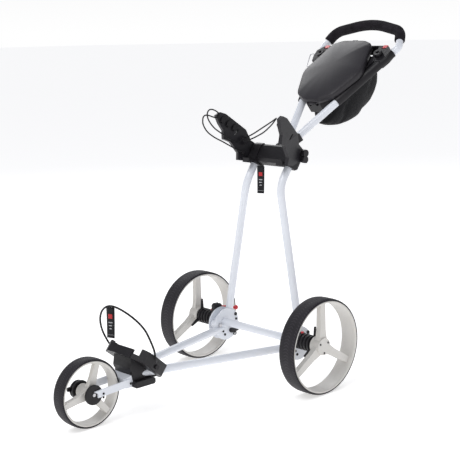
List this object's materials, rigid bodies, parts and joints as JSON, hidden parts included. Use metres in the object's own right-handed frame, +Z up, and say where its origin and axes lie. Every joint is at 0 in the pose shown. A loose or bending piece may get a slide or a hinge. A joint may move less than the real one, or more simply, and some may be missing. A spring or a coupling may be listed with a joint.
{
  "type": "golf push trolley",
  "caption": "Folding three-wheeled push cart with a white tube frame, tilting bag cradle, lidded console, foam bow handle and foot brake.",
  "frame": {"origin": "on the ground under the centre of the bounding box", "axes": "+Z up, -Y forward to the front wheel, +X to the left-hand side of the trolley"},
  "size_m": [0.614, 1.3793, 1.1358],
  "materials": {
    "tube_white": "gloss white powder coat",
    "rim_white": "warm white moulded plastic",
    "tyre": "charcoal foam rubber with a smooth tread",
    "black_plastic": "fine-grained black moulding",
    "lid_grey": "satin charcoal",
    "foam": "matte closed-cell foam",
    "bag_cloth": "fine black mesh cloth",
    "webbing": "woven black webbing",
    "cord": "braided black elastic cord",
    "red_plastic": "glossy red",
    "steel": "turned steel"
  },
  "bodies": {
    "frame": {"lower_tube_left": "tube_white", "lower_tube_right": "tube_white", "cross_tube": "tube_white", "joint_plates_left": "tube_white", "joint_plates_right": "tube_white", "frame_bolts": "black_plastic", "axles_and_pivots": "steel", "fork": "tube_white", "front_dropouts": "black_plastic", "axle_housing_left": "black_plastic", "axle_housing_right": "black_plastic", "brake_box": "black_plastic", "lower_bracket": "black_plastic", "lower_cord": "cord", "lower_tag": "webbing"},
    "rear_wheel_left": {"rear_tyre_left": "tyre", "rear_rim_left": "rim_white", "rear_spider_left": "black_plastic", "rear_bearings_left": "steel", "rear_hub_screws_left": "black_plastic"},
    "rear_wheel_right": {"rear_tyre_right": "tyre", "rear_rim_right": "rim_white", "rear_spider_right": "black_plastic", "rear_bearings_right": "steel", "rear_hub_screws_right": "black_plastic"},
    "front_wheel": {"front_tyre": "tyre", "front_rim": "rim_white", "front_bearings": "steel"},
    "wheel_release_left": {"wheel_release_left": "red_plastic"},
    "wheel_release_right": {"wheel_release_right": "red_plastic"},
    "brake_pedal": {"brake_pedal": "red_plastic"},
    "brake_pin": {"brake_pin": "steel"},
    "fold_lever_left": {"fold_lever_left": "black_plastic"},
    "fold_lever_right": {"fold_lever_right": "black_plastic"},
    "tracking_dial": {"tracking_dial": "black_plastic"},
    "upright": {"upright_left": "tube_white", "upright_right": "tube_white", "upright_feet": "tube_white", "crossbar": "black_plastic", "handle_pin": "steel", "upper_tag": "webbing"},
    "cradle": {"cradle_arm_left": "black_plastic", "cradle_arm_right": "black_plastic", "cradle_shaft": "steel", "cradle_fittings": "black_plastic", "cradle_strap": "cord", "cradle_loop": "cord"},
    "cradle_knob": {"cradle_knob": "black_plastic"},
    "handle": {"handle_tube": "tube_white", "handle_block": "black_plastic", "foam_grip": "foam", "console_base": "black_plastic", "accessory_docks": "black_plastic", "towel_loop": "steel", "net_bag": "bag_cloth", "lid_pin": "steel"},
    "lid": {"console_lid": "lid_grey"},
    "lid_latch": {"lid_latch": "black_plastic"},
    "dock_release_left": {"dock_release_left": "red_plastic"},
    "dock_release_right": {"dock_release_right": "red_plastic"}
  },
  "joints": [
    {"name": "rear_wheel_left_spin", "type": "hinge", "parent": "frame", "child": "rear_wheel_left", "pos_m": [0.277, 0.08985, 0.15], "axis": [1, 0, 0], "continuous": true},
    {"name": "rear_wheel_right_spin", "type": "hinge", "parent": "frame", "child": "rear_wheel_right", "pos_m": [-0.277, 0.08985, 0.15], "axis": [1, 0, 0], "continuous": true},
    {"name": "front_wheel_spin", "type": "hinge", "parent": "frame", "child": "front_wheel", "pos_m": [0, -0.58815, 0.1015], "axis": [1, 0, 0], "continuous": true},
    {"name": "wheel_release_left_press", "type": "slide", "parent": "frame", "child": "wheel_release_left", "axis": [0, 0, -1], "range_m": [0, 0.004], "stiffness_N_per_m": 300},
    {"name": "wheel_release_right_press", "type": "slide", "parent": "frame", "child": "wheel_release_right", "axis": [0, 0, -1], "range_m": [0, 0.004], "stiffness_N_per_m": 300},
    {"name": "brake_pedal_press", "type": "hinge", "parent": "frame", "child": "brake_pedal", "pos_m": [-0.1915, 0.10185, 0.184], "axis": [-1, 0, 0], "range_deg": [0, 22]},
    {"name": "brake_pin_slide", "type": "slide", "parent": "frame", "child": "brake_pin", "axis": [-1, 0, 0], "range_m": [0, 0.007]},
    {"name": "fold_lever_left_turn", "type": "hinge", "parent": "frame", "child": "fold_lever_left", "pos_m": [0.1446, 0.11785, 0.112], "axis": [-1, 0, 0], "range_deg": [0, 60]},
    {"name": "fold_lever_right_turn", "type": "hinge", "parent": "frame", "child": "fold_lever_right", "pos_m": [-0.1446, 0.11785, 0.112], "axis": [-1, 0, 0], "range_deg": [0, 60]},
    {"name": "tracking_dial_turn", "type": "hinge", "parent": "frame", "child": "tracking_dial", "pos_m": [-0.044, -0.58815, 0.1015], "axis": [1, 0, 0], "range_deg": [-20, 20]},
    {"name": "upright_fold", "type": "hinge", "parent": "frame", "child": "upright", "pos_m": [0, 0.06885, 0.139], "axis": [1, 0, 0], "range_deg": [0, 60]},
    {"name": "cradle_tilt", "type": "hinge", "parent": "upright", "child": "cradle", "pos_m": [0, 0.19997, 0.71317], "axis": [1, 0, 0], "range_deg": [0, 38]},
    {"name": "cradle_knob_turn", "type": "hinge", "parent": "cradle", "child": "cradle_knob", "pos_m": [0.115, 0.19997, 0.71317], "axis": [1, 0, 0], "range_deg": [0, 180]},
    {"name": "handle_fold", "type": "hinge", "parent": "upright", "child": "handle", "pos_m": [0, 0.23285, 0.7283], "axis": [-1, 0, 0], "range_deg": [0, 125]},
    {"name": "lid_open", "type": "hinge", "parent": "handle", "child": "lid", "pos_m": [0, 0.36602, 0.86529], "axis": [1, 0, 0], "range_deg": [0, 100]},
    {"name": "lid_latch_press", "type": "slide", "parent": "lid", "child": "lid_latch", "axis": [0, -0.7683, -0.6401], "range_m": [0, 0.003], "stiffness_N_per_m": 300},
    {"name": "dock_release_left_press", "type": "slide", "parent": "handle", "child": "dock_release_left", "axis": [0, -0.7683, -0.6401], "range_m": [0, 0.003], "stiffness_N_per_m": 300},
    {"name": "dock_release_right_press", "type": "slide", "parent": "handle", "child": "dock_release_right", "axis": [0, -0.7683, -0.6401], "range_m": [0, 0.003], "stiffness_N_per_m": 300}
  ],
  "couplings": [
    {"joint": "brake_pin_slide", "follows": "brake_pedal_press", "m_per_rad": 0.018}
  ]
}
